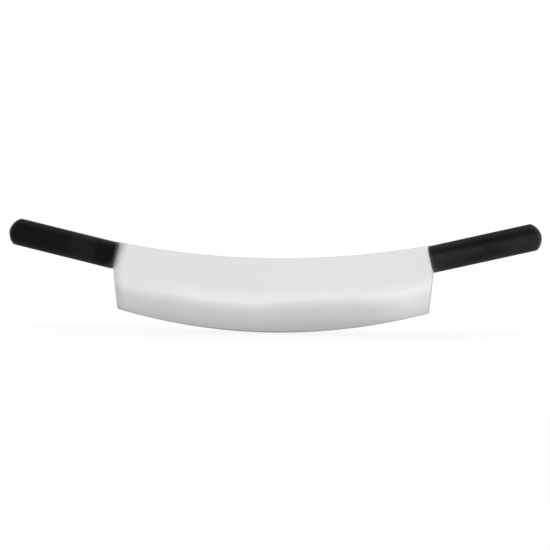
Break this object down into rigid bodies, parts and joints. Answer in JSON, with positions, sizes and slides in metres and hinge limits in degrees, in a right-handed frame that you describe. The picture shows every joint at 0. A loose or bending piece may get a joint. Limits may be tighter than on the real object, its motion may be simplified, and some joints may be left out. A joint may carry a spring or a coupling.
{
  "type": "mezzaluna",
  "caption": "Rocking mincing knife: a long shallow curved steel blade, ground on both sides, with a straight black moulded handle rising from each end.",
  "frame": {"origin": "lowest point of the cutting edge, in the middle of the blade's length and thickness", "axes": "+X along the blade towards the right handle, +Y through the blade's thickness, +Z from the cutting edge up to the spine"},
  "size_m": [0.5964, 0.021, 0.1243],
  "materials": {
    "blade_steel": "satin polished stainless steel, with fine grinding lines across the ground faces",
    "handle_plastic": "black moulded plastic with a fine even grain and a dull sheen"
  },
  "bodies": {
    "root": {"blade": "blade_steel", "left_handle": "handle_plastic", "right_handle": "handle_plastic"}
  },
  "joints": []
}
